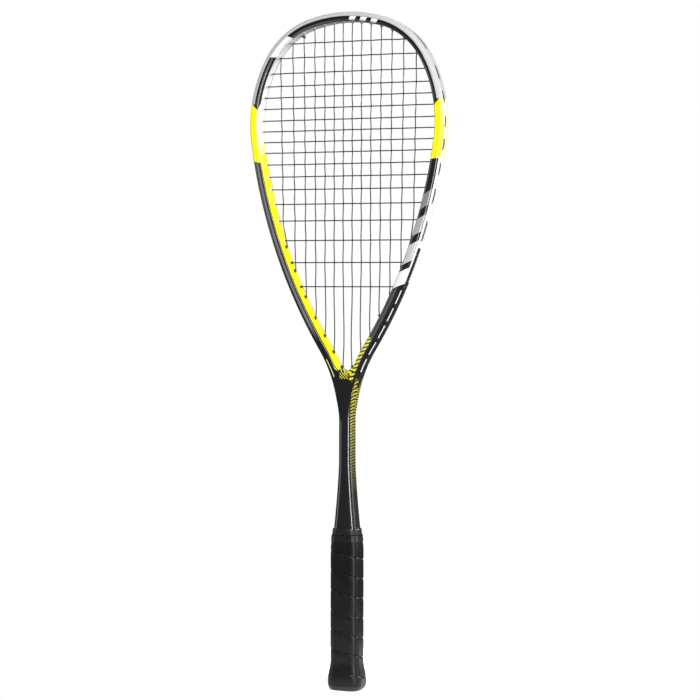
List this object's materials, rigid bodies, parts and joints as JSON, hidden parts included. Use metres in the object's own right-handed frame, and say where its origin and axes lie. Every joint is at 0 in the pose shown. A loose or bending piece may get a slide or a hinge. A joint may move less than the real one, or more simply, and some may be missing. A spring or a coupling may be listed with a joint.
{
  "type": "squash racket",
  "caption": "Squash racket with a teardrop head, closed V throat, woven strings, plastic bumper and a wrapped, flared handle.",
  "frame": {"origin": "centre of the flat end of the butt", "axes": "+Z from the butt along the shaft to the tip of the head, +X across the head, +Y through its thickness to the back; the strings lie in the plane Y = 0"},
  "size_m": [0.2098, 0.0316, 0.686],
  "materials": {
    "frame_paint": "clear-lacquered black over carbon composite, with painted panels",
    "bumper": "satin moulded nylon, light grey",
    "strip": "satin moulded nylon, white",
    "strip_dark": "satin moulded nylon, black",
    "string": "smooth coated nylon, black",
    "foam": "skinned polyurethane foam, tan",
    "cap": "moulded elastomer, black",
    "badge": "plain satin disc, grey",
    "steel": "bright staple wire",
    "grip": "tacky perforated polyurethane wrap, black",
    "collar": "smooth black elastomer",
    "tape": "smooth black vinyl tape"
  },
  "bodies": {
    "root": {"frame": "frame_paint", "bumper_guard": "bumper", "side_strip_left": "strip", "side_strip_right": "strip", "throat_strip_left": "strip_dark", "throat_strip_right": "strip_dark", "string": "string", "string_knots": "string", "end_plug": "foam", "handle_pallet": "foam", "butt_cap": "cap", "butt_badge": "badge", "cap_staples": "steel", "grip": "grip", "grip_staple": "steel", "collar": "collar", "finishing_tape": "tape"}
  },
  "joints": []
}
